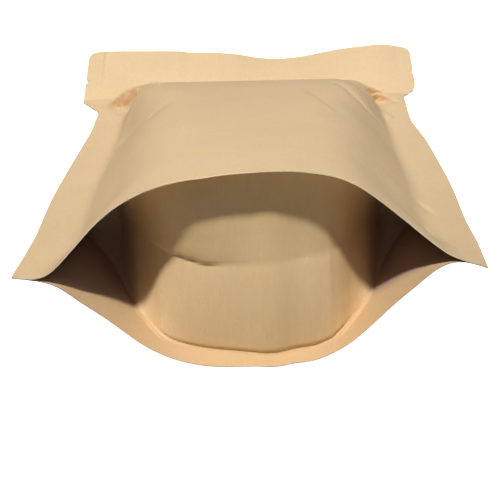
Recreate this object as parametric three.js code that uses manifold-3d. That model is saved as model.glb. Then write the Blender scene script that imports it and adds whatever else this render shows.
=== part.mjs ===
// A kraft paper stand-up pouch, zipped shut and full of air, lying on its back panel.
// Millimetres, +Z up. The bottom gusset opens towards -Y and the zipper header rises towards +Y.
// The origin is the middle of the floor under the bag.
//
// Both panels are thin sheets welded down the sides. A place on a sheet is given by
//   s, the distance across it from its centre line, and
//   m, the distance down it from the zipper (negative on the header above the zipper).
// Each sheet keeps its length: x and y follow from how fast it rises and falls.
import * as THREE from 'three';
import { mergeVertices } from 'three/addons/utils/BufferGeometryUtils.js';
import Module from 'manifold-3d';

const wasm = await Module();
wasm.setup();

// Flat sizes of the bag
const WIDTH = 160;
const BODY = 206; // zipper to bottom edge
const HEADER = 34; // zipper to top edge
const GUSSET = 38; // bottom edge to the fold of the gusset
const SKIRT = 7; // least height of the skirt below the gusset's weld
const WELD_TURNS_AT = 25; // distance from the centre line where that weld turns upwards
const WELD_CLIMB = 0.72; // how fast it climbs beyond there
const FLANGE = 1.2; // thickness of two plies welded together
const SKIRT_THICKNESS = 0.75; // a panel with the gusset's edge welded inside it
const SKIRT_MOST_SHARE = 0.45; // of the gap between the panels, so that the two skirts never touch
const CORNER_RADIUS = 5; // of the header's corners
const ZIPPER_HALF_WIDTH = 3;
const ZIPPER_RIDGE = 0.5;
const NOTCH_BELOW_TOP = 20;
const NOTCH_DEPTH = 2.5;
const NOTCH_WIDTH = 2.5;

// How the filled bag lies
const HALF = WIDTH / 2;
const ZIPPER_HEIGHT = 8.5;
const CORNER_HEIGHT = 31; // of the bottom corners above the floor
const WAIST = 70.5; // half the width between the side edges of the filled part
const BELLY = 1.6; // how much wider the side edges stand apart halfway down
const BELLY_AT = 115;
const BELLY_REACH = 75;
const WAIST_FROM = 1; // between these distances from the zipper the bag narrows
const WAIST_TO = 21;
const SHOULDER_SLOPE = 56; // degrees, of the front panel as it leaves the zipper
const PANEL_SLOPE = 10.2; // degrees, of the rest of the front panel
const SHOULDER_LENGTH = 21; // over which the first slope eases into the second
const BACK_LANDS_AT = 42; // distance from the zipper where the back panel meets the floor
const HEADER_TILT = 22.8; // degrees
const HEADER_SAG = 5.6; // depth of the header's valley at its top edge
const HEADER_SAG_AT = 12;
const HEADER_SAG_REACH = 42;
const DIMPLE_DEPTH = 4; // of the dent in each shoulder of the front panel
const DIMPLE_AT = { s: 58, m: 15 };
const DIMPLE_REACH = { s: 13, m: 14 };
const CREASE_BULGE = 2; // how far the gusset's fold stands out of its span
const CREASE_REACH = 50; // distance from the centre line where that bulge has died away
const DROOP_REACH = 8; // how far beyond the weld a drooping seam bends the sheet
const LEAST_RUN = 0.2; // least share of a sheet's length that counts as run where it is steepest

// Slope of a sheet down its side, at stations along the bag. weld is the distance from the side edge
// where the panels part, steep and ease bound the steepest stretch, level is where the sheet levels
// out, and droop is the angle in degrees at which the seam hangs.
const FRONT_LEFT = [
  { m: 0, weld: 9, steep: 16, ease: 19, level: 34, droop: 3 },
  { m: 38, weld: 9, steep: 16, ease: 19, level: 44, droop: 3 },
  { m: 100, weld: 9, steep: 22, ease: 27, level: 62, droop: 3 },
  { m: 180, weld: 8, steep: 22, ease: 30, level: 71, droop: 2 },
  { m: BODY, weld: 2, steep: 16, ease: 23, level: 79, droop: -6 },
];
const FRONT_RIGHT = [
  { m: 0, weld: 9, steep: 16, ease: 19, level: 32, droop: 3 },
  { m: 38, weld: 9, steep: 15, ease: 17, level: 46, droop: 3 },
  { m: 100, weld: 9, steep: 22, ease: 27, level: 62, droop: 3 },
  { m: 180, weld: 9, steep: 24, ease: 34, level: 72, droop: 10 },
  { m: BODY, weld: 8, steep: 16, ease: 39, level: 73, droop: 16 },
];
const BACK_LEFT = [
  { m: 0, weld: 9, steep: 16, ease: 22, level: 36, droop: 3 },
  { m: 38, weld: 9, steep: 16, ease: 22, level: 38, droop: 3 },
  { m: 100, weld: 9, steep: 20, ease: 34, level: 54, droop: 3 },
  { m: 180, weld: 8, steep: 20, ease: 42, level: 64, droop: 2 },
  { m: BODY, weld: 2, steep: 20, ease: 37, level: 76, droop: -6 },
];
const BACK_RIGHT = [
  { m: 0, weld: 9, steep: 16, ease: 22, level: 36, droop: 3 },
  { m: 38, weld: 9, steep: 16, ease: 22, level: 38, droop: 3 },
  { m: 100, weld: 9, steep: 20, ease: 34, level: 54, droop: 3 },
  { m: 180, weld: 9, steep: 24, ease: 44, level: 66, droop: 10 },
  { m: BODY, weld: 8, steep: 20, ease: 40, level: 78, droop: 16 },
];

// Mesh steps
const COLUMNS = 40;
const HEADER_ROWS = [0, 0.6, 2, CORNER_RADIUS, 10, NOTCH_BELOW_TOP, 26]; // below the top edge
const ZIPPER_EDGE = 0.5; // half the slope at each side of the zipper's ridge
const BODY_ROWS = 30;
const BODY_ROW_BIAS = 1.3; // above 1 packs the rows closer at the shoulder
const SKIRT_ROWS = 5;
const BASE_ROWS = 8;
const LEFT_TIP = 1; // column where the recess closes at each side
const RIGHT_TIP = COLUMNS - 2;
const ARC_STEP = 1; // for adding up lengths across a sheet
const NOTCH_CUT_HEIGHT = 12; // of the wedge that cuts a notch through the header
const JOIN_TOLERANCE = 1e-4;

const radians = (degrees) => (degrees * Math.PI) / 180;
const mix = (a, b, t) => a + (b - a) * t;
const clamp01 = (t) => Math.min(Math.max(t, 0), 1);
const smooth = (from, to, value) => {
  const t = clamp01((value - from) / (to - from));
  return t * t * (3 - 2 * t);
};
// A round hump, 1 at the middle and 0 from the given reach outwards.
const hump = (distance, reach) => Math.cos((Math.PI / 2) * Math.min(Math.abs(distance) / reach, 1)) ** 2;

function stationAt(stations, m) {
  const next = Math.max(1, stations.findIndex((station) => station.m >= Math.min(m, BODY)));
  const a = stations[next - 1];
  const b = stations[next];
  const t = smooth(a.m, b.m, m);
  return Object.fromEntries(Object.keys(a).map((key) => [key, mix(a[key], b[key], t)]));
}

// Share of the whole rise gained by distance u from the side edge: a slope that swells from the weld
// to its steep stretch and dies away where the sheet levels out.
function riseShare(u, { weld, steep, ease, level }) {
  const whole = (steep - weld) / 2 + (ease - steep) + (level - ease) / 2;
  if (u <= weld) return 0;
  if (u >= level) return 1;
  if (u < steep) {
    const t = (u - weld) / (steep - weld);
    return ((steep - weld) * (t / 2 - Math.sin(Math.PI * t) / (2 * Math.PI))) / whole;
  }
  if (u < ease) return ((steep - weld) / 2 + (u - steep)) / whole;
  const t = (u - ease) / (level - ease);
  const gained = (steep - weld) / 2 + (ease - steep);
  return (gained + (level - ease) * (t / 2 + Math.sin(Math.PI * t) / (2 * Math.PI))) / whole;
}

// Height gained by the drooping seam, which dies away over as much again beyond the weld.
function droopRise(u, { weld, droop }) {
  const reach = weld + DROOP_REACH;
  const t = clamp01(u / reach);
  return Math.sin(radians(droop)) * reach * (t - t ** 3 / 3);
}

// Height of the front panel's centre line: the sum of its slope from the zipper down.
function frontCrown(m) {
  let height = ZIPPER_HEIGHT + FLANGE / 2;
  for (let at = 0; at < m; at += ARC_STEP) {
    const step = Math.min(ARC_STEP, m - at);
    const ease = Math.exp(-(at + step / 2) / SHOULDER_LENGTH);
    height += step * Math.sin(radians(mix(PANEL_SLOPE, SHOULDER_SLOPE, ease)));
  }
  return height;
}

const backCrown = (m) => (ZIPPER_HEIGHT - FLANGE / 2) * (1 - smooth(0, BACK_LANDS_AT, m));
const seamHeight = (m) => mix(ZIPPER_HEIGHT, CORNER_HEIGHT, clamp01(m / BODY));
// The bag is at full width over its zipper, narrows fast below it and bellies out a little halfway.
function halfWidth(m) {
  const narrow = WAIST + BELLY * hump(m - BELLY_AT, BELLY_REACH);
  return mix(HALF, narrow, smooth(WAIST_FROM, WAIST_TO, m));
}

// Both sheets of the bag: which way is out, the crown's height and the stations of each side.
const FRONT = { out: 1, crown: frontCrown, left: FRONT_LEFT, right: FRONT_RIGHT };
const BACK = { out: -1, crown: backCrown, left: BACK_LEFT, right: BACK_RIGHT };

// One half of a cross-section, as x and z at each distance u from the side edge.
function halfSection(sheet, stations, m) {
  const station = stationAt(stations, m);
  const edge = seamHeight(m) + (sheet.out * FLANGE) / 2;
  const rise = sheet.crown(m) - edge - droopRise(HALF, station);
  const height = (u) => edge + droopRise(u, station) + rise * riseShare(u, station);
  const across = [0];
  for (let u = ARC_STEP; u <= HALF; u += ARC_STEP) {
    const slope = (height(u) - height(u - ARC_STEP)) / ARC_STEP;
    across.push(across.at(-1) + ARC_STEP * Math.sqrt(Math.max(1 - slope ** 2, LEAST_RUN ** 2)));
  }
  const reach = across.at(-1);
  const stretch = halfWidth(m) / reach;
  return (u) => {
    const whole = Math.min(Math.floor(u), HALF - 1);
    return { x: (reach - mix(across[whole], across[whole + 1], u - whole)) * stretch, z: height(u) };
  };
}

function dimple(s, m) {
  const across = hump(Math.abs(s) - DIMPLE_AT.s, DIMPLE_REACH.s);
  return DIMPLE_DEPTH * across * hump(m - DIMPLE_AT.m, DIMPLE_REACH.m);
}

// The header is one flat flange, tilted up and sagging in the middle, with rounded top corners.
function headerPoint(sheet, s, m) {
  const up = -m;
  const fromTop = HEADER - up;
  const cut = Math.max(CORNER_RADIUS - fromTop, 0);
  const half = HALF - CORNER_RADIUS + Math.sqrt(CORNER_RADIUS ** 2 - cut ** 2);
  const x = (s / HALF) * half;
  const sag = HEADER_SAG * (up / HEADER) * hump(x - HEADER_SAG_AT, HEADER_SAG_REACH);
  const z = ZIPPER_HEIGHT + up * Math.sin(radians(HEADER_TILT)) - sag + (sheet.out * FLANGE) / 2;
  return { x, z };
}

// What the front panel has on top of its plain section: the zipper's ridge and the shoulders' dents.
function frontRelief(s, m) {
  const onZipper = Math.abs(m) < ZIPPER_HALF_WIDTH && Math.abs(s) < HALF;
  return (onZipper ? ZIPPER_RIDGE : 0) - dimple(s, m);
}

// x and z of every column of one row of a sheet.
function row(sheet, m, columns) {
  const left = halfSection(sheet, sheet.left, Math.max(m, 0));
  const right = halfSection(sheet, sheet.right, Math.max(m, 0));
  return columns.map((s) => {
    const half = (s < 0 ? left : right)(HALF - Math.abs(s));
    const plain = m < 0 ? headerPoint(sheet, s, m) : { x: Math.sign(s) * half.x, z: half.z };
    return { x: plain.x, z: plain.z + (sheet === FRONT ? frontRelief(s, m) : 0) };
  });
}

// All points of a sheet as grid[row][column], starting at the top edge of the header. Going away
// from the zipper row each point moves so far along Y that its column keeps its length.
function sheetGrid(sheet, rows, columns) {
  const grid = rows.map((m) => row(sheet, m, columns).map(({ x, z }) => new THREE.Vector3(x, 0, z)));
  const zipper = rows.indexOf(0);
  const place = (index, from, direction) => {
    const length = Math.abs(rows[index] - rows[from]);
    const least = (LEAST_RUN * length) ** 2;
    grid[index].forEach((point, column) => {
      const before = grid[from][column];
      const sideways = (point.x - before.x) ** 2 + (point.z - before.z) ** 2;
      point.y = before.y + direction * Math.sqrt(Math.max(length ** 2 - sideways, least));
    });
  };
  for (let index = zipper + 1; index < rows.length; index += 1) place(index, index - 1, -1);
  for (let index = zipper - 1; index >= 0; index -= 1) place(index, index + 1, 1);
  return grid;
}

// The point of a sheet on one column at distance m from the zipper.
function alongColumn(grid, rows, column, m) {
  const next = Math.max(1, rows.findIndex((value) => value >= m));
  const t = (m - rows[next - 1]) / (rows[next] - rows[next - 1]);
  return grid[next - 1][column].clone().lerp(grid[next][column], t);
}

// Height of the gusset's weld above the bottom edge.
const weldHeight = (s) => Math.min(SKIRT + WELD_CLIMB * Math.max(Math.abs(s) - WELD_TURNS_AT, 0), GUSSET);

// Inner faces of both skirts, from the rim up to the gusset's weld, as pairs of grids[column][row].
function skirtGrids(front, back, rows, columns) {
  const inner = { front: [], back: [] };
  for (let column = LEFT_TIP; column <= RIGHT_TIP; column += 1) {
    const tip = column === LEFT_TIP || column === RIGHT_TIP;
    const top = weldHeight(columns[column]);
    inner.front.push([]);
    inner.back.push([]);
    for (let step = 0; step <= SKIRT_ROWS; step += 1) {
      const m = BODY - (top * step) / SKIRT_ROWS;
      const above = alongColumn(front, rows, column, m);
      const below = alongColumn(back, rows, column, m);
      const gap = above.clone().sub(below);
      const share = tip ? 0.5 : Math.min(SKIRT_THICKNESS / gap.length(), SKIRT_MOST_SHARE);
      inner.front.at(-1).push(above.clone().addScaledVector(gap, -share));
      inner.back.at(-1).push(below.clone().addScaledVector(gap, share));
    }
  }
  return inner;
}

// The gusset's base spans from one weld to the other with a slight fold along its middle.
function baseGrid(inner, columns) {
  return inner.front.map((frontColumn, index) => {
    const s = columns[index + LEFT_TIP];
    const bulge = CREASE_BULGE * hump(s, CREASE_REACH);
    return Array.from({ length: BASE_ROWS + 1 }, (_, step) => {
      const t = step / BASE_ROWS;
      const point = frontColumn.at(-1).clone().lerp(inner.back[index].at(-1), t);
      point.y -= bulge * (1 - Math.abs(2 * t - 1));
      return point;
    });
  });
}

// A mesh under construction. Faces are listed anticlockwise as seen from outside.
function makeSkin() {
  const corners = [];
  const triangle = (a, b, c) => corners.push(a, b, c);
  const quad = (a, b, c, d) => {
    triangle(a, b, c);
    triangle(a, c, d);
  };
  return { corners, triangle, quad };
}

function sheetFaces(skin, grid, out) {
  for (let r = 0; r + 1 < grid.length; r += 1) {
    for (let c = 0; c + 1 < grid[r].length; c += 1) {
      const loop = [grid[r][c], grid[r + 1][c], grid[r + 1][c + 1], grid[r][c + 1]];
      skin.quad(...(out > 0 ? loop : loop.reverse()));
    }
  }
}

function columnFaces(skin, grid, out) {
  for (let c = 0; c + 1 < grid.length; c += 1) {
    for (let r = 0; r + 1 < grid[c].length; r += 1) {
      const loop = [grid[c][r], grid[c + 1][r], grid[c + 1][r + 1], grid[c][r + 1]];
      skin.quad(...(out > 0 ? loop : loop.reverse()));
    }
  }
}

// Side edges, top edge, and the rim of the skirts round the recess.
function edgeFaces(skin, front, back, inner) {
  const last = front.length - 1;
  for (let r = 0; r < last; r += 1) {
    skin.quad(back[r][0], back[r + 1][0], front[r + 1][0], front[r][0]);
    skin.quad(front[r][COLUMNS], front[r + 1][COLUMNS], back[r + 1][COLUMNS], back[r][COLUMNS]);
  }
  for (let c = 0; c < COLUMNS; c += 1) {
    skin.quad(front[0][c], front[0][c + 1], back[0][c + 1], back[0][c]);
  }
  const frontRim = front[last];
  const backRim = back[last];
  for (let c = 0; c < COLUMNS; c += 1) {
    if (c >= LEFT_TIP && c < RIGHT_TIP) {
      const [a, b] = [inner.front[c - LEFT_TIP][0], inner.front[c - LEFT_TIP + 1][0]];
      const [d, e] = [inner.back[c - LEFT_TIP][0], inner.back[c - LEFT_TIP + 1][0]];
      skin.quad(frontRim[c + 1], frontRim[c], a, b);
      skin.quad(e, d, backRim[c], backRim[c + 1]);
    } else if (c + 1 === LEFT_TIP) {
      const tip = inner.front[0][0];
      skin.quad(frontRim[c], backRim[c], backRim[c + 1], tip);
      skin.triangle(frontRim[c], tip, frontRim[c + 1]);
    } else if (c === RIGHT_TIP) {
      const tip = inner.front.at(-1)[0];
      skin.quad(frontRim[c + 1], tip, backRim[c], backRim[c + 1]);
      skin.triangle(frontRim[c + 1], frontRim[c], tip);
    } else {
      skin.quad(frontRim[c + 1], frontRim[c], backRim[c], backRim[c + 1]);
    }
  }
}

function toGeometry(corners) {
  const geometry = new THREE.BufferGeometry();
  geometry.setAttribute('position', new THREE.Float32BufferAttribute(corners.flatMap((p) => p.toArray()), 3));
  return geometry;
}

// Joins equal corners and drops triangles that have no width.
function weld(geometry) {
  const merged = mergeVertices(geometry, JOIN_TOLERANCE);
  const index = [];
  for (let i = 0; i < merged.index.count; i += 3) {
    const [a, b, c] = [0, 1, 2].map((k) => merged.index.getX(i + k));
    if (a !== b && b !== c && c !== a) index.push(a, b, c);
  }
  merged.setIndex(index);
  return merged;
}

function toManifold(geometry) {
  const bare = new THREE.BufferGeometry();
  bare.setAttribute('position', geometry.getAttribute('position').clone());
  if (geometry.index) bare.setIndex(geometry.index.clone());
  const merged = weld(bare);
  return new wasm.Manifold(new wasm.Mesh({
    numProp: 3,
    vertProperties: new Float32Array(merged.getAttribute('position').array),
    triVerts: new Uint32Array(merged.index.array),
  }));
}

function fromManifold(solid) {
  const { vertProperties, triVerts } = solid.getMesh();
  const geometry = new THREE.BufferGeometry();
  geometry.setAttribute('position', new THREE.BufferAttribute(vertProperties, 3));
  geometry.setIndex(new THREE.BufferAttribute(triVerts, 1));
  geometry.computeVertexNormals();
  return geometry;
}

// A wedge that cuts a tear notch into one side of the header.
function notchWedge(edge, side) {
  const wedge = new THREE.Shape([
    new THREE.Vector2(-side * NOTCH_DEPTH, 0),
    new THREE.Vector2(side * NOTCH_DEPTH, NOTCH_WIDTH),
    new THREE.Vector2(side * NOTCH_DEPTH, -NOTCH_WIDTH),
  ]);
  const geometry = new THREE.ExtrudeGeometry(wedge, { depth: NOTCH_CUT_HEIGHT, bevelEnabled: false });
  return geometry.translate(edge.x, edge.y, edge.z - NOTCH_CUT_HEIGHT / 2);
}

function buildBag() {
  const columns = Array.from({ length: COLUMNS + 1 }, (_, i) => mix(-HALF, HALF, i / COLUMNS));
  const [inside, outside] = [ZIPPER_HALF_WIDTH - ZIPPER_EDGE, ZIPPER_HALF_WIDTH + ZIPPER_EDGE];
  const headerRows = HEADER_ROWS.map((below) => below - HEADER);
  const bodyRows = Array.from({ length: BODY_ROWS }, (_, i) => {
    return mix(outside, BODY, ((i + 1) / BODY_ROWS) ** BODY_ROW_BIAS);
  });
  const rows = [...headerRows, -outside, -inside, 0, inside, outside, ...bodyRows];
  const front = sheetGrid(FRONT, rows, columns);
  const back = sheetGrid(BACK, rows, columns);
  const inner = skirtGrids(front, back, rows, columns);

  const skin = makeSkin();
  sheetFaces(skin, front, FRONT.out);
  sheetFaces(skin, back, BACK.out);
  edgeFaces(skin, front, back, inner);
  columnFaces(skin, inner.front, -1);
  columnFaces(skin, baseGrid(inner, columns), -1);
  columnFaces(skin, inner.back, 1);

  const notchRow = rows.indexOf(NOTCH_BELOW_TOP - HEADER);
  let bag = toManifold(toGeometry(skin.corners));
  for (const side of [-1, 1]) {
    const edge = front[notchRow][side < 0 ? 0 : COLUMNS];
    bag = bag.subtract(toManifold(notchWedge(edge, side)));
  }
  return fromManifold(bag);
}

// Sets the bag down so that its box is centred on the origin and stands on the floor.
function centred(geometry) {
  geometry.computeBoundingBox();
  const { min, max } = geometry.boundingBox;
  return geometry.translate(-(min.x + max.x) / 2, -(min.y + max.y) / 2, -min.z);
}

const kraftPaper = new THREE.MeshStandardMaterial({ color: 0xc79a64, roughness: 0.85, metalness: 0 });
const pouch = new THREE.Mesh(centred(buildBag()), kraftPaper);
pouch.name = 'pouch';

const bag = new THREE.Group();
bag.add(pouch);

export default bag;
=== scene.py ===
"""A kraft paper stand-up pouch, zipped shut and full of air, lying on its back panel.

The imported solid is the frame. The bag that is shown is one closed mesh made from the same two
sheets: s is the distance across a sheet from its centre line, m the distance down it from the zipper
(negative on the header), and u the distance from a side edge. Lengths are in millimetres until a
mesh is made.
"""
import math

import bpy
import numpy as np
from mathutils import Matrix, Vector, geometry


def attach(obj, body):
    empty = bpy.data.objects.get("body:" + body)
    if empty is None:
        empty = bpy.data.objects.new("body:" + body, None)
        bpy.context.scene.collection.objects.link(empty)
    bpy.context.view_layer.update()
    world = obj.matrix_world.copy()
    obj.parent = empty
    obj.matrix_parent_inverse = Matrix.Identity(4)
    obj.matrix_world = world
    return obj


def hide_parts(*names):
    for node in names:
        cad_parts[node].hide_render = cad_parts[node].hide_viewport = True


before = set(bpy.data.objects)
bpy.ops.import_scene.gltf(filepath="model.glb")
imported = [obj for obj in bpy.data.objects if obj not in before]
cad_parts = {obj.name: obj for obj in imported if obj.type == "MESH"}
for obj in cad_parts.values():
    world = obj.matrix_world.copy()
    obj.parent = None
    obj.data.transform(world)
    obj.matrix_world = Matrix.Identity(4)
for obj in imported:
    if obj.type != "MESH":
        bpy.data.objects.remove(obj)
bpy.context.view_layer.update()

MM = 0.001

# Flat sizes of the bag
WIDTH = 160.0
HALF = WIDTH / 2
BODY = 206.0
HEADER = 34.0
GUSSET = 38.0
FLANGE = 0.5            # two plies welded together
SKIRT_THICKNESS = 0.3   # a panel with the gusset's edge welded inside it
WELDED_SHARE = 0.48     # at most, how deep in the whole thickness a skirt's inner face lies
LIP_LEAN = 0.2          # how far the gusset's edge stands out past the front panel's
CORNER_RADIUS = 5.0
NOTCH_UP = {-1: 12.8, 1: 15.2}   # above the zipper, on the left and on the right
NOTCH_DEPTH = 1.8
NOTCH_HALF_WIDTH = 1.2
HEADER_BAND = 20.0      # how far in from its ends the header gives way to its corners and notches

# How the filled bag lies
ZIPPER_AT = 86.03       # Y of the zipper line in the row frame
ZIPPER_HEIGHT = 8.5
ZIPPER_HALF_THICKNESS = 0.6
ZIPPER_REACH = 5.0      # how far up the header that thickness fades
ZIPPER_END_EASE = 10.0  # and how far in from the side edges it is reached
LEFT_CORNER_HEIGHT, RIGHT_CORNER_HEIGHT = 31.0, 31.9
SHOULDER_SLOPE, PANEL_SLOPE, SHOULDER_LENGTH = 56.0, 10.2, 21.0
BACK_LANDS_AT = 42.0
DROOP_PAST_WELD = 8.0   # how far past the side weld its droop goes on
HEADER_TILT = 22.8
HEADER_SAG, HEADER_SAG_AT, HEADER_SAG_REACH = 5.6, 12.0, 42.0

# Half the width between the side edges, as (m, half width)
LEFT_EDGE = [(-34, 80.2), (0, 80.4), (4, 79.8), (21, 71.6), (24.5, 70.2), (30, 69.7), (46, 69.3),
             (56, 69.1), (77, 69.6), (98, 70.3), (126, 70.9), (143, 71.0), (159, 70.6), (173, 70.1),
             (187, 70.4), (206, 71.2)]
RIGHT_EDGE = [(-34, 79.6), (-7, 79.6), (-3.5, 78.9), (-1, 76.8), (1, 74.8), (4, 73.2), (10, 72.3),
              (22, 71.5), (38, 70.5), (48, 70.1), (57, 70.5), (66, 71.2), (76, 71.8), (97, 72.0),
              (126, 72.0), (143, 71.5), (159, 70.6), (170, 70.1), (187, 70.2), (206, 69.3)]
# How far the header's top edge stands above its plain sag, as (x, height)
TOP_EDGE = [(-80, 0.6), (-72, 0.9), (-55, 0.6), (-42, 0.3), (-34, 0.0), (-31, -0.9), (-24, -0.9),
            (-16, 0.0), (-6, 0.9), (2, 0.5), (10, 0.2), (27, -0.4), (36, -0.3), (48, 0.0), (57, 0.7),
            (62, 1.5), (68, 1.4), (74, 0.2), (80, -0.4)]
# How far the front lip stands above its plain section, as (s, height), and where down the panel it begins
LIP = [(-80, 0), (-58, 0), (-40, -0.3), (-25, -0.6), (-14, -0.7), (-6, 0.0), (4, 0.6), (12, 0.6),
       (20, 0.5), (26, 0.9), (34, 1.2), (41, 0.9), (50, 0.2), (58, 0), (80, 0)]
LIP_FROM = 120.0
# How far the back panel's bottom edge bows out of its plain section, as (s, mm), and how far up it does
RIM_OUT = [(-80, 0), (-45, 0), (-25, 0.5), (-12, 1.1), (0, 1.1), (7, 1.6), (12, 0.4), (18, 0.9),
           (24, 0.5), (36, 0), (80, 0)]
RIM_REACH = 30.0

# Stations along the bag: m, then where from the side edge the weld ends, the steep flank begins, it
# eases off and the paper is level, and the droop of the edge in degrees
STATIONS = {
    "front_left": [(0, 9, 16, 19, 34, 3), (38, 9, 16, 19, 44, 3), (100, 11, 18, 29, 62, 3),
                   (180, 9, 19, 32, 71, 2), (206, 2, 16, 23, 79, -6)],
    "front_right": [(0, 9, 16, 19, 32, 3), (38, 9, 15, 17, 46, 3), (100, 11, 18, 29, 62, 3),
                    (180, 11, 20, 36, 72, 10), (206, 4, 16, 39, 73, 21)],
    "back_left": [(0, 9, 16, 22, 36, 3), (38, 9, 16, 22, 38, 3), (100, 9, 20, 34, 54, 3),
                  (180, 8, 20, 42, 64, 2), (206, 2, 20, 37, 76, -6)],
    "back_right": [(0, 9, 16, 22, 36, 3), (38, 9, 16, 22, 38, 3), (100, 9, 20, 34, 54, 3),
                   (180, 9, 24, 44, 66, 10), (206, 4, 20, 40, 78, 21)],
}

# Folds of the front panel. Each has a line of (s, m, height), how far it reaches from that line
# (on its inner side, on its outer side) and how fast it fades: 1 is a sharp fold, 2 a soft one.
FOLDS = [
    # the left shoulder's edge
    {"line": [(-50, 8, 0), (-52.2, 18, 2.0), (-52.4, 28, 2.3), (-53.5, 38, 1.4), (-56, 48, 0.8),
              (-59, 58, 0.6), (-60, 72, 0)], "reach": (7, 2.5), "fade": 1},
    {"line": [(-26, 42, 0), (-36, 46, -0.4), (-42, 58, -0.4), (-46, 75, 0)], "reach": (8, 8),
     "fade": 2},
    # a long fold from the panel down to the left seam
    {"line": [(-34, 84, 0), (-38, 96, -0.5), (-44, 102, -0.75), (-53, 92, -1.0), (-59, 88, -0.8),
              (-63, 86, 0)], "reach": (5, 4), "fade": 1},
    # the right shoulder's edge and the groove beside it
    {"line": [(54, 6, 0), (56, 14, 2.1), (56.2, 26, 2.5), (57.5, 36, 1.9), (61, 44, 1.1), (65, 54, 0.6),
              (67, 66, 0)], "reach": (10, 2.5), "fade": 1},
    {"line": [(36, 50, 0), (41, 58, -0.9), (44, 68, -1.1), (51, 74, -1.0), (58, 72, -0.7), (64, 74, 0)],
     "reach": (6, 6), "fade": 2},
    {"line": [(22, 62, 0), (25, 81, -0.5), (32, 108, -0.45), (36, 125, 0)], "reach": (2.5, 8),
     "fade": 1},
    # the inner edge of the side weld on the header
    {"line": [(-72.8, -34, -0.2), (-72.8, -22, -0.15), (-72.8, -8, 0)], "reach": (3.0, 1.0), "fade": 1},
    {"line": [(72, -30, -0.15), (72, -14, 0)], "reach": (1.0, 3.0), "fade": 1},
    # two small creases on the right seam
    {"line": [(64, 152, 0), (67.5, 160, -0.8), (69.5, 168, 0)], "reach": (3.0, 1.2), "fade": 1},
    {"line": [(63.2, 180, 0), (64.4, 187, -0.6), (65, 196, 0)], "reach": (2.4, 1.2), "fade": 1},
    # bright little buckles of the left seam under the shoulder
    {"line": [(-71, 28, 0), (-69, 36, 1.1), (-66, 45, 0)], "reach": (4, 4), "fade": 1},
    {"line": [(-64, 48, 0), (-61, 60, 0.7), (-59, 70, 0)], "reach": (4, 4), "fade": 1},
    {"line": [(68, 34, 0), (70, 44, 0.8), (68, 58, 0)], "reach": (4, 3), "fade": 1},
]

# The tucks beside the zipper, as chains of (s, m, height, shift towards the header): the rim on the
# header, the bottom of the wall below it, the shelf that rises from there, and where it ends
LEFT_TUCK = [
    [(-43, -12, 0, 0), (-52, -10.5, 0, 0), (-58, -8, 0, 0), (-61.5, -5, 0, 0), (-65, -0.5, 0, 0),
     (-69.5, 8, 0, 0), (-74.5, 15, 0, 0), (-79, 21, 0, 0)],
    [(-45, -4, -3, 4.5), (-50, -1.5, -6.5, 9), (-55, 0.3, -8.4, 9.8), (-60, 2, -8.8, 9.5),
     (-64, 4.4, -7.6, 8), (-68, 9.5, -4.6, 5), (-72, 15, -2.2, 2)],
    [(-50, 10, 0, 0), (-56, 14, -1.5, 0), (-61, 16, -4, 0), (-66, 18, -3.4, 0), (-70, 20, -1, 0),
     (-75, 24, 0, 0)],
    [(-52, 22, 0, 0), (-57, 30, -0.8, 0), (-61.5, 27, -3.6, 0), (-66, 27, -0.8, 0), (-70, 30, 0, 0)],
    [(-56, 44, 0, 0), (-61, 40, -1.2, 0), (-64, 48, 0, 0)],
]
RIGHT_TUCK = [
    [(46, -10, 0, 0), (54, -8, 0, 0), (57.5, -5, 0, 0), (65, 0.5, 0, 0), (73, 9.5, 0, 0),
     (77, 14, 0, 0)],
    [(49, -3, -2.5, 4), (54, -1, -6, 8.5), (60, 1.5, -7.8, 9.5), (66, 5, -7.0, 9),
     (71, 10.5, -4.4, 5.5), (75, 14.5, -1.2, 0.8)],
    [(52, 12, 0, 0), (58, 14, -1.5, 0), (62, 14, -3, 0), (66, 14, -3.5, 0), (70, 16, -1.2, 0),
     (75, 19, 0, 0)],
    [(54, 22, 0, 0), (60, 26, -0.8, 0), (64, 26, -1.2, 0), (66, 25, -0.7, 0), (70, 24, 0, 0)],
    [(60, 38, 0, 0), (66, 36, 0, 0)],
]
TUCK_SOFTENING = 2      # how many steps of the grid round the tucks' creases
BACK_TUCK_FADES = 20.0  # how far down the back panel follows the tucks

# The gusset's weld on the skirts, as (s, height), up to the corner where the gusset ends
WELD_LINE = [(-39.0, 16.5), (-36.0, 15.0), (-32.5, 12.0), (-29.5, 9.0), (-27.0, 8.0), (-22.0, 8.2),
             (-17.5, 8.0), (-8.0, 6.8), (3.0, 5.6), (14.0, 6.2), (24.0, 6.4), (27.5, 8.4), (31.5, 12.0),
             (36.0, 15.0), (39.0, 16.8)]
GUSSET_CORNER = 68.0
FRONT_WELD_EASE = (-6, -3, 0, 3, 6)   # the front weld is the mean of the line at these distances
WELD_DIP, WELD_DIP_AT, WELD_DIP_REACH = 0.9, 3.0, 12.0   # the back weld's shallow V
# The roll of the back skirt where the base folds up out of it, as (s, height)
WELD_ROLL = [(-48, 0), (-41, 0.8), (-30, 0.8), (-25, 0.2), (24, 0.2), (28, 1.0), (41, 1.0), (48, 0)]
WELD_ROLL_WIDTH = 2.4

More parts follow.
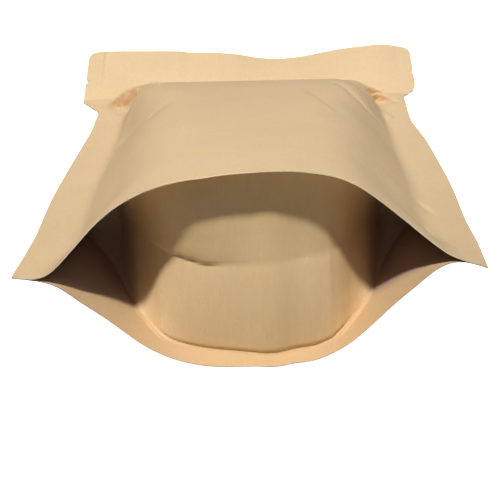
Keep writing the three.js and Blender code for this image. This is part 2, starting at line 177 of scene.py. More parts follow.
# How far the base stands out of its straight span between the welds, as (s, mm): a quarter of the
# way down, on the fold along its middle, and a quarter of the way up from the bottom
BASE_UPPER = [(-68, 0), (-60, -4), (-48, -9), (-38, -8), (-31, -3.8), (-26, -1.2), (-21, 0.4),
              (-17, 1.0), (-9, 0.35), (0, -0.85), (8, -0.95), (15, -1.2), (22, -1.9), (30, -3.6),
              (38, -8), (48, -9), (60, -4), (68, 0)]
BASE_FOLD = [(-68, 0), (-60, -4), (-48, -12), (-38, -10), (-30, -6.2), (-24, -3.6), (-16, -1.8),
             (-10, -1.2), (10, -1.2), (18, -1.8), (24, -2.8), (30, -4.8), (38, -10), (48, -12),
             (60, -4), (68, 0)]
BASE_LOWER = [(-68, 0), (-60, -4), (-48, -9), (-38, -6), (-30, -3.4), (-22, -0.8), (-16, 0.2),
              (-10, 0.3), (10, 0.3), (19, 0.2), (24, -0.6), (30, -2), (38, -5), (48, -9), (60, -4),
              (68, 0)]
BELLY_POWER = 0.7       # under 1, the belly between the fold and a weld is fuller
# Share of the way down at which that fold runs, and how far its upper edge overhangs the lower one
FOLD_AT = [(-48, 0.44), (-36, 0.45), (-24, 0.475), (-13, 0.515), (0, 0.51), (13, 0.50), (24, 0.485),
           (36, 0.47)]
FOLD_OVERHANG = [(-38, 0), (-32, 0.5), (-24, 0.7), (-14, 0.5), (-8, 0.1), (20, 0.1), (30, 0.3), (36, 0)]
OVERHANG_FROM = 0.7     # share of the way to the fold where the overhang begins
# A fine groove where the base meets the back weld: its depth, between which |s| it runs out, and
# the share of the way down where it lies, with its reach
WELD_GROOVE = 0.5
GROOVE_ENDS = (35, 28)
GROOVE_AT, GROOVE_REACH = 0.985, 0.015

# Paper
PAPER_TONE = (0.735, 0.535, 0.31)
# painted light: the gusset's paper is painted lighter than the panels'
GUSSET_LIT_TONE = (0.83, 0.595, 0.325)
# painted shade: the skirts' inner faces are painted darker and warmer than the panels' paper
SKIRT_SHADED_TONE = (0.69, 0.468, 0.247)
CUT_TONE = (0.80, 0.63, 0.41)
POCKET_SHADE_SHARE = (0.58, 0.60, 0.84)   # painted shade: the share of its tone that the paper keeps deep in the corner pockets
HEADER_PAINTED_LIGHT = 0.10      # painted light: how much lighter the header, and the side bands near it, are painted than the filled body
SEAM_PAINTED_SHADE = 0.10         # painted shade: how much darker the side bands get towards the gusset
# Painted shade along the pressed inner edge of the side weld on the header's left end: where it
# runs, and how much darker its line and the strip outside it are painted
CREASE_SHADE_AT, CREASE_SHADE_LINE, CREASE_SHADE_STRIP = -72.4, 0.10, 0.035

# Where the painted light and shade above come in or fade, in millimetres across or down the sheet
SIDE_BANDS = (54.0, 66.0)
HEADER_ENDS = (-3.0, 8.0)
PAINTED_LIGHT_FADES = (20.0, 110.0)
SEAM_SHADE_GROWS = (100.0, 185.0)
CREASE_SHADE_FADES = (-28.0, -6.0)
CREASE_SHADE_LINE_EDGE = (0.2, 1.1)    # from the middle of the line
CREASE_SHADE_STRIP_EDGE = (-0.6, 0.4)
SHADED_POCKETS = (34.0, 50.0)
# The lit rim of the back skirt: its width at the centre line, how much it narrows for each
# millimetre aside, how soft its edge is, and what share of the pockets' painted shade it is spared
LIT_RIM, LIT_RIM_NARROWS, LIT_RIM_EASE, LIT_RIM_SPARED = 31.0, 0.4, 3.0, 0.8

# The paper's patterns: noises with their features for each millimetre, and small dark flecks
CLOUD = {"per_mm": (0.045, 0.05), "offset": 3, "detail": 3}
MOTTLE = {"per_mm": (0.42, 0.38), "offset": 11, "detail": 5, "rough": 0.65}
GRAIN = {"per_mm": (1.9, 1.5), "offset": 5, "detail": 3, "rough": 0.7}
DRIFT = {"per_mm": (0.07, 0.1), "offset": 71, "detail": 2}
COCKLE = {"per_mm": (0.05, 0.035), "offset": 90, "detail": 2}
CRUMPLE = {"per_mm": (0.03, 0.04), "turn": 25, "offset": 57, "detail": 2, "kind": "RIDGED_MULTIFRACTAL"}
DARK_THREADS = {"per_mm": (1.5, 0.16), "turn": 8, "offset": 20}
CROSS_THREADS = {"per_mm": (0.9, 0.14), "turn": -62, "offset": 31}
PALE_THREADS = {"per_mm": (1.3, 0.15), "turn": 33, "offset": 47}
THREAD_WIDTH, THREAD_DETAIL = 0.035, 1.5
# cells for each millimetre, how a fleck's edge fades in its cell, and which cells have one
FLECK_CELLS, FLECK_EDGE, FLECK_PICK = 0.42, (0.03, 0.12), (0.62, 0.7)
# How much each of them, and each painted light and shade above, lightens the paper
LIGHTENS = {"cloud": 0.10, "mottle": 0.11, "grain": 0.07, "dark_threads": -0.022, "cross_threads": -0.025,
            "pale_threads": 0.03, "flecks": -0.12, "painted_light": HEADER_PAINTED_LIGHT, "seam_shade": -SEAM_PAINTED_SHADE,
            "crease_shade": -1.0}
RED_DRIFT, BLUE_DRIFT = 0.03, 0.16    # how far these two drift from place to place
# How high each of them stands, in millimetres
HEIGHTS = {"cockle": 0.35, "crumple": 0.05, "mottle": 0.035, "grain": 0.012, "dark_threads": 0.008}
ROUGHNESS, ROUGHNESS_SPREAD = 0.62, 0.2   # the second is what the mottling adds

# Light, in metres
TOWARDS_KEY = (-0.13, -0.31, 0.94)
KEY_SIZE = 0.11
KEY_POWER = 26.6
KEY_COLOUR = (1.0, 0.985, 0.95)
TOWARDS_FILL = (0.6, -0.05, 0.8)
FILL_SIZE = 1.0
FILL_POWER = 2.6
FILL_COLOUR = (0.84, 0.92, 1.0)
LIGHT_DISTANCE = 1.6
LIGHT_AIM = (0, -0.02, 0.03)
# The studio as the world: light off the floor, dark walls and a weak ceiling, each with the share of
# the way from straight down to straight up at which it is reached
FLOOR_BOUNCE, BOUNCE_TO = (0.48, 0.43, 0.34), 0.46
STUDIO_WALLS, WALLS_FROM = (0.0, 0.0, 0.01), 0.52
STUDIO_CEILING, CEILING_AT = (0.08, 0.085, 0.11), 0.85

# Floor, in metres. It is large, and the camera sees as far, so that low views show no edge of it
FLOOR_SIZE = 40.0
FLOOR_GAP = 0.0002
FLOOR_ROUGHNESS = 0.9
FLOOR_GLOW = 1.0
FLOOR_CLOUDS = 3.0
FLOOR_TONES = (0.90, 0.93)

# Camera fitted to the photo: focal length and picture width in pixels, place in millimetres, and
# degrees down, aside and turned
FOCAL_PIXELS, PHOTO_PIXELS = 1010, 500
SENSOR_WIDTH = 36.0
CAMERA_AT = (1.83, -372.17, 183.7)
CAMERA_TURN = (29.5, -0.5, -1.4)

# Mesh steps
COLUMN_STEP = 0.8
HEADER_ROWS = 44
BODY_ROWS = 240
BACK_EVERY = 4          # the back panel has every fourth row, and the last
SKIRT_ROWS = 26
BASE_ROWS = 64
BASE_LAST_ROW = 0.992   # one more row in the groove
SECTION_STEP = 0.5      # for adding up lengths along a section
LEAST_RUN = 0.04        # share of a step's square that the steepest paper still runs level
SHARP_ANGLE = 50.0
CORNER_EASE = ((-1.2, 0.25), (0, 0.5), (1.2, 0.25))   # distances and weights that ease a table's corners
MERGE_DISTANCE = 1e-6
ON_EDGE = 1e-9

# Parts of the sheet, kept with each point, how a zone ends between the numbers of two parts, and
# where the base's own rows lie on the sheet
FRONT, BACK, FRONT_SKIRT, BACK_SKIRT, BASE = range(5)
PART_STEP = 0.5
ONE_PART = (0.1, 0.6)
BASE_M, BASE_M_LENGTH = 300, 40

# Material slots, and the colour sockets of a Mix node
PAPER, CUT_EDGE = 0, 1
MIX_A, MIX_B, MIX_RESULT = 6, 7, 2


def smooth(a, b, v):
    t = np.clip((v - a) / (b - a), 0, 1)
    return t * t * (3 - 2 * t)


def hump(distance, reach):
    return np.cos(np.pi / 2 * np.minimum(np.abs(distance) / reach, 1)) ** 2


def along(table, at):
    """Value of a table of (place, value) pairs, eased a little at its corners."""
    places, values = zip(*table)
    return sum(np.interp(at + d, places, values) * w for d, w in CORNER_EASE)


# ---- the two panels ----

def station(rows, m):
    """A station table's five values at each row m, as columns."""
    rows = np.array(rows, float)
    m = np.clip(m, 0, BODY)
    i = np.clip(np.searchsorted(rows[:, 0], m, side="left"), 1, len(rows) - 1)
    t = smooth(rows[i - 1, 0], rows[i, 0], m)[:, None]
    return (rows[i - 1, 1:] * (1 - t) + rows[i, 1:] * t).T[:, :, None]


def rise_share(u, weld, steep, ease, level):
    """Share of a section's whole rise gained by distance u from the side edge."""
    whole = (steep - weld) / 2 + (ease - steep) + (level - ease) / 2
    a = np.clip((u - weld) / (steep - weld), 0, 1)
    c = np.clip((u - ease) / (level - ease), 0, 1)
    gained = (steep - weld) * (a / 2 - np.sin(np.pi * a) / (2 * np.pi))
    gained = gained + np.clip(u - steep, 0, ease - steep)
    return (gained + (level - ease) * (c / 2 + np.sin(np.pi * c) / (2 * np.pi))) / whole


def droop_rise(u, weld, droop):
    """How far the paper has risen by distance u from a side edge that hangs down."""
    reach = weld + DROOP_PAST_WELD
    t = np.clip(u / reach, 0, 1)
    return np.sin(np.radians(droop)) * reach * (t - t ** 3 / 3)


def seam_height(m, corner):
    """Height of a side edge, from the zipper to its corner at the bottom."""
    return ZIPPER_HEIGHT + (corner - ZIPPER_HEIGHT) * np.clip(m / BODY, 0, 1)


def front_crown(m):
    """Height of the front panel's centre line, which climbs steeply from the zipper and then less."""
    at = np.linspace(0, BODY, int(round(BODY / SECTION_STEP)) + 1)
    step = at[1] - at[0]
    ease = np.exp(-(at[:-1] + step / 2) / SHOULDER_LENGTH)
    slope = PANEL_SLOPE + (SHOULDER_SLOPE - PANEL_SLOPE) * ease
    climb = np.r_[0, np.cumsum(step * np.sin(np.radians(slope)))]
    return np.interp(m, at, climb) + ZIPPER_HEIGHT + ZIPPER_HALF_THICKNESS


def back_crown(m):
    """Height of the back panel's centre line, down to the floor."""
    return (ZIPPER_HEIGHT - ZIPPER_HALF_THICKNESS) * (1 - smooth(0, BACK_LANDS_AT, m))


def half_section(u, m, edge_table, corner, rows, out, crown):
    """x (away from the centre line) and z of one half of the sheet, for columns u and rows m."""
    weld, steep, ease, level, droop = station(rows, m)
    edge = (seam_height(m, corner) + out * FLANGE / 2)[:, None]

    def height(at):
        rise = crown(m)[:, None] - edge - droop_rise(HALF, weld, droop)
        return edge + droop_rise(at, weld, droop) + rise * rise_share(at, weld, steep, ease, level)

    grid = np.arange(0, HALF + SECTION_STEP / 2, SECTION_STEP)[None, :]
    z = height(grid)
    dx = np.sqrt(np.maximum(SECTION_STEP ** 2 - np.diff(z, axis=1) ** 2, LEAST_RUN * SECTION_STEP ** 2))
    across = np.concatenate([np.zeros((len(m), 1)), np.cumsum(dx, 1)], 1)
    scale = along(edge_table, m) / across[:, -1]
    x = np.stack([np.interp(u, grid[0], row) for row in across])
    return (across[:, -1:] - x) * scale[:, None], height(u[None, :])


def header_points(s, m, out):
    """x and z of one face of the header, for columns s and rows m."""
    up = -m[:, None]
    cut = np.maximum(CORNER_RADIUS - (HEADER - up), 0)
    half = np.where(s[None, :] < 0, along(LEFT_EDGE, m)[:, None], along(RIGHT_EDGE, m)[:, None])
    half = half - CORNER_RADIUS + np.sqrt(CORNER_RADIUS ** 2 - cut ** 2)
    notch_up = np.where(s[None, :] < 0, NOTCH_UP[-1], NOTCH_UP[1])
    nick = NOTCH_DEPTH * np.maximum(1 - np.abs(up - notch_up) / NOTCH_HALF_WIDTH, 0)
    # only a band along each side gives way to the round corner and the notch
    limit = (half - nick) / HALF
    band = np.clip((np.abs(s[None, :]) - (HALF - HEADER_BAND)) / HEADER_BAND, 0, 1) ** 2
    x = s[None, :] * (1 + (limit - 1) * band)
    lift = along(TOP_EDGE, x) - HEADER_SAG * hump(x - HEADER_SAG_AT, HEADER_SAG_REACH)
    inner = smooth(0, ZIPPER_END_EASE, HALF - np.abs(s))[None, :]
    thick = FLANGE / 2 + (ZIPPER_HALF_THICKNESS - FLANGE / 2) * hump(up, ZIPPER_REACH) * inner
    z = ZIPPER_HEIGHT + up * math.sin(math.radians(HEADER_TILT)) + lift * up / HEADER + out * thick
    return x, z


def sheet(columns, rows, out, crown, left, right):
    """The sheet as an array [row, column, xyz]. Each column of the body keeps its length."""
    s = columns
    u = HALF - np.abs(s)
    below = np.maximum(rows, 0)
    x_left, z_left = half_section(u, below, LEFT_EDGE, LEFT_CORNER_HEIGHT, STATIONS[left], out, crown)
    x_right, z_right = half_section(u, below, RIGHT_EDGE, RIGHT_CORNER_HEIGHT, STATIONS[right], out, crown)
    is_left = (s < 0)[None, :]
    x = np.where(is_left, -x_left, x_right)
    z = np.where(is_left, z_left, z_right)
    x_top, z_top = header_points(s, rows, out)
    on_header = (rows < 0)[:, None]
    x = np.where(on_header, x_top, x)
    z = np.where(on_header, z_top, z)
    dm = np.diff(rows)[:, None]
    side = np.where(on_header[:-1], 0, np.diff(x, axis=0) ** 2) + np.diff(z, axis=0) ** 2
    run = np.sqrt(np.maximum(dm ** 2 - side, LEAST_RUN * dm ** 2))
    y = np.concatenate([np.zeros((1, len(s))), -np.cumsum(run, axis=0)])
    y -= y[np.searchsorted(rows, 0)]
    return np.stack([x, y + ZIPPER_AT, z], -1)


def fold(s, m, line, reach, fade):
    """Height of one fold at (s, m): full on its line and fading on both sides."""
    best = np.full(s.shape, np.inf)
    height = np.zeros(s.shape)
    for (xa, ya, ha), (xb, yb, hb) in zip(line[:-1], line[1:]):
        dx, dy = xb - xa, yb - ya
        t = np.clip(((s - xa) * dx + (m - ya) * dy) / (dx * dx + dy * dy), 0, 1)
        off_x, off_y = s - xa - t * dx, m - ya - t * dy
        distance = np.hypot(off_x, off_y)
        inner = np.abs(s) < np.abs(xa + t * dx)
        share = np.clip(1 - distance / np.where(inner, reach[0], reach[1]), 0, 1) ** fade
        nearer = distance < best
        height = np.where(nearer, (ha + t * (hb - ha)) * share, height)
        best = np.minimum(best, distance)
    return height


def facets(s, m, chains):
    """Height and shift at (s, m) of a dent made of flat facets between chains of points."""
    points = [p for chain in chains for p in chain]
    edges, first = [], 0
    for chain in chains:
        edges += [(first + k, first + k + 1) for k in range(len(chain) - 1)]
        first += len(chain)
    flat = [Vector(p[:2]) for p in points]
    _, _, faces, *_ = geometry.delaunay_2d_cdt(flat, edges, [], 0, MERGE_DISTANCE)
    total = np.zeros(s.shape + (2,))
    for face in faces:
        (xa, ya), (xb, yb), (xc, yc) = (points[i][:2] for i in face)
        da, db, dc = (np.array(points[i][2:]) for i in face)
        area = (xb - xa) * (yc - ya) - (xc - xa) * (yb - ya)
        b = ((s - xa) * (yc - ya) - (xc - xa) * (m - ya)) / area
        c = ((xb - xa) * (m - ya) - (s - xa) * (yb - ya)) / area
        inside = ((b >= -ON_EDGE) & (c >= -ON_EDGE) & (b + c <= 1 + ON_EDGE))[..., None]
        total = np.where(inside, da + b[..., None] * (db - da) + c[..., None] * (dc - da), total)
    return total


def softened(grid, times):
    """The grid with its creases rounded over some steps each way."""
    for axis in (0, 1) * times:
        grid = grid / 2 + (np.roll(grid, 1, axis) + np.roll(grid, -1, axis)) / 4
    return grid


def front_relief(s, m):
    """Height of the front panel's folds and of its lip."""
    relief = sum(fold(s, m, **f) for f in FOLDS)
    return relief + along(LIP, s) * smooth(LIP_FROM, BODY, m)


def panels(columns, rows):
    """The front and the back panel, with their folds and tucks."""
    front = sheet(columns, rows, 1, front_crown, "front_left", "front_right")
    back = sheet(columns, rows, -1, back_crown, "back_left", "back_right")
    s, m = np.meshgrid(columns, rows)
    tuck = softened(facets(s, m, LEFT_TUCK) + facets(s, m, RIGHT_TUCK), TUCK_SOFTENING)
    front[..., 2] += front_relief(s, m) + tuck[..., 0]
    back[..., 2] += tuck[..., 0] * (1 - smooth(0, BACK_TUCK_FADES, m))
    front[..., 1] += tuck[..., 1]
    back[..., 1] += tuck[..., 1]
    # the back panel stays under the front one and on the floor
    back[..., 2] = np.maximum(np.minimum(back[..., 2], front[..., 2] - FLANGE), 0)
    back[..., 1] -= along(RIM_OUT, s) * smooth(BODY - RIM_REACH, BODY, m)
    return front, back


# ---- the open gusset ----

def weld_height(s):
    """Height of the gusset's weld above the bottom edge: low in the middle, a kink, then a climb."""
    low = np.interp(s, *zip(*WELD_LINE))
    climb = np.clip((np.abs(s) - WELD_LINE[-1][0]) / (GUSSET_CORNER - WELD_LINE[-1][0]), 0, 1)
    return low + (GUSSET - low) * np.sin(np.pi / 2 * climb)


def places_on(panel, rows, at):
    """Points of the panel at the distances at[row, column] down it."""
    lines = [[np.interp(at[:, c], rows, panel[:, c, k]) for k in range(3)] for c in range(panel.shape[1])]
    return np.stack([np.stack(line, -1) for line in lines], 1)


def skirts(front, back, columns, rows):
    """The skirts' inner faces from the rim up to the gusset's weld, and how far down the sheet they are."""
    step = np.linspace(0, 1, SKIRT_ROWS + 1)[:, None]
    front_top = sum(weld_height(columns + d) for d in FRONT_WELD_EASE) / len(FRONT_WELD_EASE)
    dip = WELD_DIP * np.maximum(1 - np.abs(columns - WELD_DIP_AT) / WELD_DIP_REACH, 0)
    back_top = weld_height(columns) - dip
    front_at, back_at = (BODY - step * top[None, :] for top in (front_top, back_top))
    above = places_on(front, rows, front_at)
    under = places_on(back, rows, back_at)
    gap = above - under
    share = np.minimum(SKIRT_THICKNESS / np.linalg.norm(gap, axis=-1, keepdims=True), WELDED_SHARE)
    inner_front = above - gap * share
    inner_back = under + gap * share
    inner_front[0, :, 1] -= LIP_LEAN
    to_weld = (1 - step) * back_top[None, :]
    roll = along(WELD_ROLL, columns)[None, :] * smooth(WELD_ROLL_WIDTH, 0, to_weld)
    inner_back[..., 2] += roll * (1 - 2 * share[..., 0])
    return inner_front, front_at, inner_back, back_at


def base_bulge(s, t):
    """How far the open base stands out of its straight span, at share t of the way down it."""
    upper, on_fold, lower = (along(table, s) for table in (BASE_UPPER, BASE_FOLD, BASE_LOWER))
    at = along(FOLD_AT, s)
    half = np.where(t < at, t / at, (1 - t) / (1 - at))
    side = np.where(t < at, upper, lower)
    # each half is a straight run towards the fold with a rounder belly on it
    belly = side - on_fold / 2
    overhang = np.where(t < at, along(FOLD_OVERHANG, s) * smooth(OVERHANG_FROM, 1, half), 0)
    groove = WELD_GROOVE * smooth(*GROOVE_ENDS, np.abs(s)) * hump(t - GROOVE_AT, GROOVE_REACH)
    return on_fold * half + belly * np.sin(np.pi * half) ** BELLY_POWER + overhang - groove


# ---- the mesh ----

class Skin:
    """Grids of points with their flat places, joined face by face."""

    def __init__(self):
        self.points, self.flat, self.count = [], [], 0
        self.faces, self.slots = [], []

    def add(self, grid, s, m, part):
        """Adds grid[row, column] and returns the indices of its points."""
        shape = grid.shape[:2]
        flat = np.stack(np.broadcast_arrays(s, m, float(part)), -1)
        self.points.append(grid.reshape(-1, 3))
        self.flat.append(np.broadcast_to(flat, shape + (3,)).reshape(-1, 3))
        index = np.arange(self.count, self.count + shape[0] * shape[1]).reshape(shape)
        self.count += index.size
        return index

    def put(self, loops, slot=PAPER):
        self.faces += loops
        self.slots += [slot] * len(loops)

    def grid_faces(self, index, out):
        """Faces of a grid; out is 1 where a face that runs like the front panel's looks outwards."""
        a, b, c, d = index[:-1, :-1], index[1:, :-1], index[1:, 1:], index[:-1, 1:]
        self.put(np.stack([a, b, c, d] if out > 0 else [d, c, b, a], -1).reshape(-1, 4).tolist())

    def strip(self, one, other):
        """Cut-edge faces between two lines of points of the same length."""
        self.put(np.stack([one[:-1], one[1:], other[1:], other[:-1]], -1).tolist(), CUT_EDGE)

    def fan_strip(self, fine, coarse, every, flip=False):
        """Cut-edge faces between a fine line and one with every n-th of its points and the last."""
        loops = []
        for k in range(len(coarse) - 1):
            loop = [int(coarse[k]), int(coarse[k + 1])]
            loop += [int(i) for i in fine[k * every:(k + 1) * every + 1][::-1]]
            loops.append(loop[::-1] if flip else loop)
        self.put(loops, CUT_EDGE)

    def to_object(self, name):
        """The mesh as an object, with (s, m, part) of each point in its attribute "flat"."""
        mesh = bpy.data.meshes.new(name)
        points = np.concatenate(self.points) * MM
        mesh.from_pydata(points.tolist(), [], self.faces)
        flat = mesh.attributes.new("flat", "FLOAT_VECTOR", "POINT")
        flat.data.foreach_set("vector", np.concatenate(self.flat).astype(np.float32).ravel())
        mesh.polygons.foreach_set("material_index", self.slots)
        mesh.update()
        mesh.validate()
        mesh.shade_smooth()
        mesh.set_sharp_from_angle(angle=math.radians(SHARP_ANGLE))
        obj = bpy.data.objects.new(name, mesh)
        bpy.context.scene.collection.objects.link(obj)
        return obj


def make_bag():
    """The shown bag: panels, skirts, the base between them, and the cut edges."""
    columns = np.linspace(-HALF, HALF, int(round(WIDTH / COLUMN_STEP)) + 1)
    beside_notch = (-NOTCH_HALF_WIDTH, 0, NOTCH_HALF_WIDTH, NOTCH_HALF_WIDTH / 2)
    notches = [-(up + d) for up in NOTCH_UP.values() for d in beside_notch]
    header_rows = -np.linspace(HEADER, 0, HEADER_ROWS, endpoint=False)
    body_rows = np.linspace(0, BODY, BODY_ROWS + 1)
    # rounded, so that rows which meet count once
    rows = np.unique(np.round(np.concatenate([header_rows, body_rows, notches]), 4))
    front, back = panels(columns, rows)

    skin = Skin()
    s = columns[None, :]
    f = skin.add(front, s, rows[:, None], FRONT)
    on_back = [*range(0, len(rows) - 1, BACK_EVERY), len(rows) - 1]
    b = skin.add(back[on_back], s, rows[on_back, None], BACK)
    skin.grid_faces(f, 1)
    skin.grid_faces(b, -1)
    skin.fan_strip(f[:, 0], b[:, 0], BACK_EVERY)
    skin.fan_strip(f[:, -1], b[:, -1], BACK_EVERY, flip=True)
    skin.strip(f[0], b[0])

    # the pocket between the skirts stops a column short of the side edges
    held = slice(1, -1)
    s_held = s[:, held]
    inner_front, front_at, inner_back, back_at = skirts(front, back, columns, rows)
    fi = skin.add(inner_front[:, held], s_held, front_at[:, held], FRONT_SKIRT)
    bi = skin.add(inner_back[:, held], s_held, back_at[:, held], BACK_SKIRT)
    skin.grid_faces(fi, 1)
    skin.grid_faces(bi, -1)
    skin.strip(fi[0], f[-1, held])
    skin.strip(b[-1, held], bi[0])

    # the base between the welds
    t = np.r_[np.linspace(0, 1, BASE_ROWS, endpoint=False), BASE_LAST_ROW, 1][:, None]
    base = inner_front[-1][None] * (1 - t[..., None]) + inner_back[-1][None] * t[..., None]
    base[..., 1] -= base_bulge(s, t)
    g = skin.add(base[:, held], s_held, t * BASE_M_LENGTH + BASE_M, BASE)
    skin.grid_faces(g, 1)

    # the pocket's ends, and the bit of rim beyond each
    skin.strip(bi[:-1, 0], fi[:-1, 0])
    skin.strip(fi[:-1, -1], bi[:-1, -1])
    for side, turn in ((0, 1), (-1, -1)):
        end = [bi[-2, side], *g[::-1, side], fi[-2, side]]
        rim = [b[-1, side], b[-1, side + turn], bi[0, side], fi[0, side], f[-1, side + turn], f[-1, side]]
        skin.put([[int(i) for i in loop[::turn]] for loop in (end, rim)], CUT_EDGE)
    return skin.to_object("pouch_bag")


# ---- materials ----

class Nodes:
    """Short forms for a material's node tree. Places on the paper come from the mesh, in millimetres."""

    def __init__(self, name):
        self.material = bpy.data.materials.new(name)
        self.material.use_nodes = True
        self.tree = self.material.node_tree
        self.shader = self.tree.nodes["Principled BSDF"]

    def add(self, kind, inputs=(), **settings):
        made = self.tree.nodes.new(kind)
        for key, value in settings.items():
            setattr(made, key, value)
        for key, value in dict(inputs).items():
            self.feed(value, made.inputs[key])
        return made

    def feed(self, value, socket):
        if isinstance(value, bpy.types.NodeSocket):
            self.tree.links.new(value, socket)
        else:
            socket.default_value = value

    def math(self, operation, a, b=0.0):
        return self.add("ShaderNodeMath", {0: a, 1: b}, operation=operation).outputs[0]

    def inverse(self, value):
        return self.math("SUBTRACT", 1.0, value)

    def times(self, a, b):
        return self.add("ShaderNodeVectorMath", {0: a, 1: b}, operation="MULTIPLY").outputs["Vector"]

    def total(self, *terms):
        """Sum of (socket, share) pairs."""
        result = 0.0
        for socket, share in terms:
            result = self.math("ADD", self.math("MULTIPLY", socket, share), result)
        return result

    def between(self, value, low, high):
        """0 below low, 1 above high and smooth between."""
        made = self.add("ShaderNodeMapRange", {"Value": value, "From Min": low, "From Max": high},
                        interpolation_type="SMOOTHSTEP")
        return made.outputs["Result"]

    def mix(self, factor, a, b):
        """Colour a where the factor is 0, b where it is 1."""
        a, b = (c if isinstance(c, bpy.types.NodeSocket) else (*c, 1) for c in (a, b))
        made = self.add("ShaderNodeMix", {"Factor": factor, MIX_A: a, MIX_B: b}, data_type="RGBA")
        return made.outputs[MIX_RESULT]

    def noise(self, place, per_mm, turn=0.0, offset=0.0, detail=3.0, rough=0.5, kind="FBM"):
        mapped = self.add("ShaderNodeMapping", {"Vector": place, "Rotation": (0, 0, math.radians(turn)),
                                                "Scale": (*per_mm, 1.0), "Location": (offset,) * 3})
        made = self.add("ShaderNodeTexNoise", {"Vector": mapped.outputs["Vector"], "Scale": 1.0,
                                               "Detail": detail, "Roughness": rough},
                        noise_type=kind, normalize=kind == "FBM")
        return made.outputs["Fac"]

    def thread(self, place, per_mm, turn, offset):
        """Thin threads: 1 where a drawn-out noise crosses its middle."""
        centred = self.math("SUBTRACT", self.noise(place, per_mm, turn, offset, detail=THREAD_DETAIL), 0.5)
        return self.inverse(self.between(self.math("ABSOLUTE", centred), 0.0, THREAD_WIDTH))

    def flecks(self, place):
        """Small dots in some cells of the sheet."""
        cells = self.add("ShaderNodeTexVoronoi", {"Vector": place, "Scale": FLECK_CELLS, "Randomness": 1.0})
        pick = self.add("ShaderNodeSeparateColor", {"Color": cells.outputs["Color"]}).outputs["Red"]
        return self.math("MULTIPLY", self.inverse(self.between(cells.outputs["Distance"], *FLECK_EDGE)),
                         self.between(pick, *FLECK_PICK))


def painted_light_zones(n, across, off_centre, below):
    """Where the painted light of the header and of the side bands near it, the side bands' painted shade
    and the pressed line's painted shade lie.
    """
    on_band = n.between(off_centre, *SIDE_BANDS)
    on_header = n.inverse(n.between(below, *HEADER_ENDS))
    band_painted_light = n.math("MULTIPLY", on_band, n.inverse(n.between(below, *PAINTED_LIGHT_FADES)))
    off_line = n.math("SUBTRACT", across, CREASE_SHADE_AT)
    line = n.inverse(n.between(n.math("ABSOLUTE", off_line), *CREASE_SHADE_LINE_EDGE))
    strip = n.inverse(n.between(off_line, *CREASE_SHADE_STRIP_EDGE))
    return {
        "painted_light": n.math("MAXIMUM", on_header, band_painted_light),
        "seam_shade": n.math("MULTIPLY", on_band, n.between(below, *SEAM_SHADE_GROWS)),
        "crease_shade": n.math("MULTIPLY", n.inverse(n.between(below, *CREASE_SHADE_FADES)),
                          n.total((line, CREASE_SHADE_LINE), (strip, CREASE_SHADE_STRIP))),
    }


def pocket_shade_zone(n, off_centre, below, part, on_skirt):
    """Where the painted shade lies: the skirts deep in the gusset's corner pockets, but for the back
    skirt's lit rim.
    """
    aside = n.between(off_centre, *SHADED_POCKETS)
    rim = n.math("ADD", n.math("MULTIPLY", off_centre, LIT_RIM_NARROWS), BODY - LIT_RIM)
    near, far = ONE_PART
    on_back_skirt = n.math("SUBTRACT", n.between(part, BACK_SKIRT - far, BACK_SKIRT - near),
                           n.between(part, BACK_SKIRT + near, BACK_SKIRT + far))
    on_rim = n.between(n.math("SUBTRACT", below, rim), -LIT_RIM_EASE, LIT_RIM_EASE)
    lit = n.math("MULTIPLY", on_back_skirt, on_rim)
    spared = n.inverse(n.math("MULTIPLY", lit, LIT_RIM_SPARED))
    return n.math("MULTIPLY", aside, n.math("MULTIPLY", on_skirt, spared))


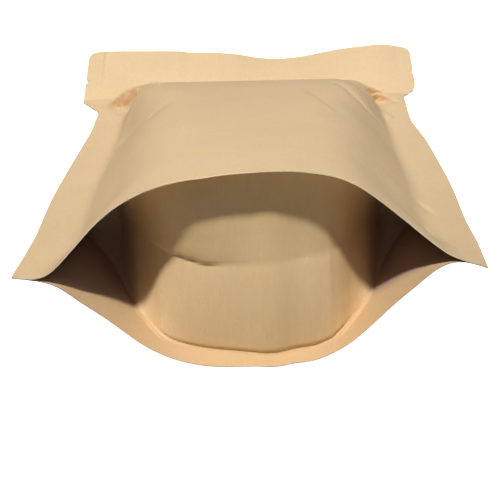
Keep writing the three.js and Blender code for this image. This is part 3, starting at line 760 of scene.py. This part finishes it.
def kraft_paper(name, tone, skirt_tone, gusset_tone):
    """Uncoated kraft paper: cloudy, with drawn-out fibres and small dark flecks."""
    n = Nodes(name)
    place = n.add("ShaderNodeAttribute", attribute_name="flat").outputs["Vector"]
    split = n.add("ShaderNodeSeparateXYZ", {"Vector": place})
    across, below, part = (split.outputs[axis] for axis in "XYZ")
    off_centre = n.math("ABSOLUTE", across)
    patterns = {
        "cloud": n.noise(place, **CLOUD),
        "mottle": n.noise(place, **MOTTLE),
        "grain": n.noise(place, **GRAIN),
        "dark_threads": n.thread(place, **DARK_THREADS),
        "cross_threads": n.thread(place, **CROSS_THREADS),
        "pale_threads": n.thread(place, **PALE_THREADS),
        "flecks": n.flecks(place),
        "cockle": n.noise(place, **COCKLE),
        "crumple": n.noise(place, **CRUMPLE),
    }
    look = {**patterns, **painted_light_zones(n, across, off_centre, below)}
    lightness = n.total(*((look[key], share) for key, share in LIGHTENS.items()))
    # the tones above are those halfway between the body and the header's painted light, and where these
    # noises are halfway
    middle = sum(LIGHTENS[key] for key in ("cloud", "mottle", "grain", "painted_light")) / 2
    lightness = n.math("ADD", lightness, 1.0 - middle)

    on_skirt = n.between(part, FRONT_SKIRT - PART_STEP, FRONT_SKIRT)
    on_gusset = n.between(part, BASE - PART_STEP, BASE)
    # painted light on the gusset and painted shade on the skirts, given as their tones
    part_tone = n.mix(on_gusset, n.mix(on_skirt, tone, skirt_tone), gusset_tone)
    # painted shade: the skirts are darkened deep in the corner pockets, but for the back skirt's lit rim
    pocket_shade = n.mix(pocket_shade_zone(n, off_centre, below, part, on_skirt), (1, 1, 1), POCKET_SHADE_SHARE)
    drift = n.math("SUBTRACT", n.noise(place, **DRIFT), 0.5)
    red = n.math("ADD", lightness, n.math("MULTIPLY", drift, RED_DRIFT))
    blue = n.math("SUBTRACT", lightness, n.math("MULTIPLY", drift, BLUE_DRIFT))
    shade = n.add("ShaderNodeCombineXYZ", {"X": red, "Y": lightness, "Z": blue}).outputs["Vector"]
    n.feed(n.times(n.times(part_tone, shade), pocket_shade), n.shader.inputs["Base Color"])
    roughness = n.math("ADD", n.math("MULTIPLY", patterns["mottle"], ROUGHNESS_SPREAD), ROUGHNESS)
    n.feed(roughness, n.shader.inputs["Roughness"])

    # soft cockling, small crumples and the tooth of the paper
    height = n.total(*((patterns[key], share) for key, share in HEIGHTS.items()))
    bump = n.add("ShaderNodeBump", {"Height": height, "Strength": 1.0, "Distance": MM})
    n.feed(bump.outputs["Normal"], n.shader.inputs["Normal"])
    return n.material


# ---- the studio ----

def floor_piece():
    bpy.ops.mesh.primitive_plane_add(size=FLOOR_SIZE, location=(0, 0, -FLOOR_GAP))
    floor = bpy.context.object
    floor.name = "floor"
    n = Nodes("pale_floor")
    n.feed(FLOOR_ROUGHNESS, n.shader.inputs["Roughness"])
    n.feed((1, 1, 1, 1), n.shader.inputs["Emission Color"])
    n.feed(FLOOR_GLOW, n.shader.inputs["Emission Strength"])
    noise = n.add("ShaderNodeTexNoise", {"Scale": FLOOR_CLOUDS})
    ramp = n.add("ShaderNodeValToRGB", {"Fac": noise.outputs["Fac"]})
    for stop, tone in zip(ramp.color_ramp.elements, FLOOR_TONES):
        stop.color = (tone, tone, tone, 1)
    n.feed(ramp.outputs["Color"], n.shader.inputs["Base Color"])
    floor.data.materials.append(n.material)
    floor.visible_diffuse = False
    floor.visible_glossy = False
    return floor


def camera():
    data = bpy.data.cameras.new("camera")
    data.sensor_width = SENSOR_WIDTH
    data.lens = FOCAL_PIXELS / PHOTO_PIXELS * SENSOR_WIDTH
    data.clip_end = FLOOR_SIZE
    obj = bpy.data.objects.new("camera", data)
    bpy.context.scene.collection.objects.link(obj)
    down, aside, roll = (math.radians(a) for a in CAMERA_TURN)
    ahead = Vector((math.sin(aside) * math.cos(down), math.cos(aside) * math.cos(down), -math.sin(down)))
    right = ahead.cross(Vector((0, 0, 1))).normalized()
    up = right.cross(ahead)
    turned_right = right * math.cos(roll) + up * math.sin(roll)
    turned_up = -right * math.sin(roll) + up * math.cos(roll)
    place = Matrix((turned_right, turned_up, -ahead)).transposed().to_4x4()
    place.translation = Vector(CAMERA_AT) * MM
    obj.matrix_world = place
    bpy.context.scene.camera = obj


def area_light(name, direction, size, power, colour):
    data = bpy.data.lights.new(name, "AREA")
    data.shape = "DISK"
    data.size, data.energy, data.color = size, power, colour
    light = bpy.data.objects.new(name, data)
    bpy.context.scene.collection.objects.link(light)
    aim = Vector(LIGHT_AIM)
    light.location = aim + Vector(direction).normalized() * LIGHT_DISTANCE
    light.rotation_euler = (aim - light.location).to_track_quat("-Z", "Y").to_euler()


def lights():
    world = bpy.data.worlds.new("studio")
    bpy.context.scene.world = world
    world.use_nodes = True
    tree = world.node_tree
    back = tree.nodes["Background"]
    coord = tree.nodes.new("ShaderNodeTexCoord")
    split = tree.nodes.new("ShaderNodeSeparateXYZ")
    ramp = tree.nodes.new("ShaderNodeValToRGB")
    spread = tree.nodes.new("ShaderNodeMapRange")
    spread.inputs["From Min"].default_value = -1
    tree.links.new(coord.outputs["Generated"], split.inputs["Vector"])
    tree.links.new(split.outputs["Z"], spread.inputs["Value"])
    tree.links.new(spread.outputs["Result"], ramp.inputs["Fac"])
    tree.links.new(ramp.outputs["Color"], back.inputs["Color"])
    stops = ramp.color_ramp.elements
    stops[0].position, stops[0].color = BOUNCE_TO, (*FLOOR_BOUNCE, 1)
    stops[1].position, stops[1].color = WALLS_FROM, (*STUDIO_WALLS, 1)
    top = stops.new(CEILING_AT)
    top.color = (*STUDIO_CEILING, 1)
    area_light("key", TOWARDS_KEY, KEY_SIZE, KEY_POWER, KEY_COLOUR)
    area_light("fill", TOWARDS_FILL, FILL_SIZE, FILL_POWER, FILL_COLOUR)


bag = make_bag()
bag.data.materials.append(kraft_paper("kraft_paper", PAPER_TONE, SKIRT_SHADED_TONE, GUSSET_LIT_TONE))
bag.data.materials.append(kraft_paper("kraft_cut_edge", CUT_TONE, CUT_TONE, CUT_TONE))
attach(bag, "root")
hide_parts("pouch")
floor_piece()
camera()
lights()
view = bpy.context.scene.view_settings
view.view_transform = "Standard"
view.look = "None"
